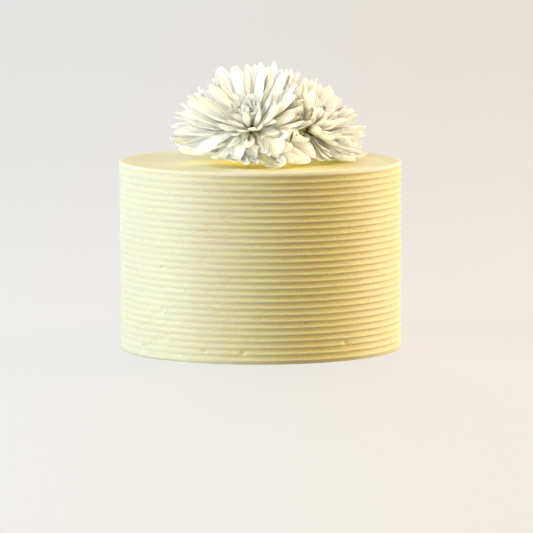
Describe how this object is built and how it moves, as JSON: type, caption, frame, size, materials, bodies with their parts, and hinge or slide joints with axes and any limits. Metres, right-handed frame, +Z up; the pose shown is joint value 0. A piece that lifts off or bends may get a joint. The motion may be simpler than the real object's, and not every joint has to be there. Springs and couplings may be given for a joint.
{
  "type": "buttercream cake",
  "caption": "Tall round cake with yellow buttercream combed into level ridges round its side and white chrysanthemum blooms on top.",
  "frame": {"origin": "centre of the cake's flat base, on the surface it stands on", "axes": "+Z up through the cake, -Y towards the viewer, where the front bloom faces, +X to the viewer's right"},
  "size_m": [0.1606, 0.1598, 0.1635],
  "materials": {
    "buttercream": "soft satin yellow buttercream",
    "petals": "matt white, thin and slightly translucent",
    "stems": "matt green"
  },
  "bodies": {
    "root": {"cake": "buttercream", "bloom_front": "petals", "bloom_right": "petals", "bloom_back": "petals", "stem_front": "stems", "stem_right": "stems", "stem_back": "stems"}
  },
  "joints": []
}
